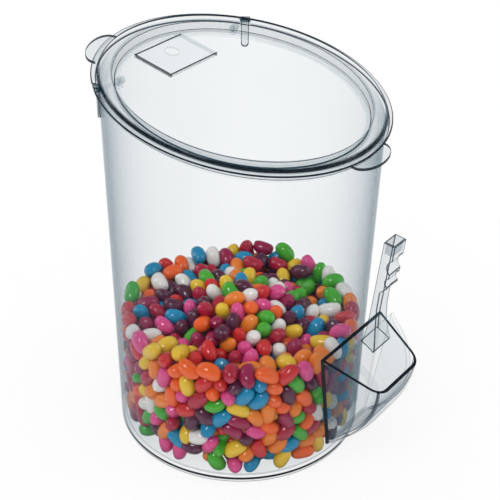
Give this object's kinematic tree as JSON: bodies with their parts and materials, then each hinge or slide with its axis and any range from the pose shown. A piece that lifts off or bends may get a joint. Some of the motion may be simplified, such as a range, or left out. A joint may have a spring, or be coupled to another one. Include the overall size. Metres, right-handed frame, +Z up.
{
  "type": "candy bin with slanted lid and scoop",
  "caption": "Round clear candy bin with a slanted mouth, a lid ring with a swing flap and card holder, and a scoop standing in a pocket on the front.",
  "frame": {"origin": "centre of the underside of the base, on the plane the bin stands on", "axes": "+Z up along the bin's axis, -Y to the low front side of the mouth where the scoop holder hangs, +X to the bin's right as seen from the rear"},
  "size_m": [0.223, 0.2741, 0.3217],
  "materials": {
    "clear_body": "clear, polished",
    "clear_lid": "clear, polished",
    "clear_clip": "clear, polished",
    "clear_card_holder": "clear, polished",
    "clear_holder": "clear, polished",
    "clear_scoop": "clear, polished"
  },
  "bodies": {
    "bin": {"bin_body": "clear_body", "holder_rail": "clear_body"},
    "lid": {"lid_ring": "clear_lid", "left_hinge_clip": "clear_clip", "right_hinge_clip": "clear_clip", "hinge_pins": "clear_clip"},
    "flap": {"lid_flap": "clear_lid", "card_holder": "clear_card_holder"},
    "holder": {"scoop_holder": "clear_holder"},
    "scoop": {"scoop_bowl": "clear_scoop", "scoop_handle": "clear_scoop"}
  },
  "joints": [
    {"name": "lid_lift", "type": "slide", "parent": "bin", "child": "lid", "axis": [0, 0, 1], "range_m": [0, 0.08]},
    {"name": "flap_hinge", "type": "hinge", "parent": "lid", "child": "flap", "pos_m": [0, 0.06196, 0.31013], "axis": [-1, 0, 0], "range_deg": [0, 80]},
    {"name": "holder_lift", "type": "slide", "parent": "bin", "child": "holder", "axis": [0, 0, 1], "range_m": [0, 0.06]},
    {"name": "scoop_lift", "type": "slide", "parent": "holder", "child": "scoop", "axis": [0, 0, 1], "range_m": [0, 0.1]}
  ]
}
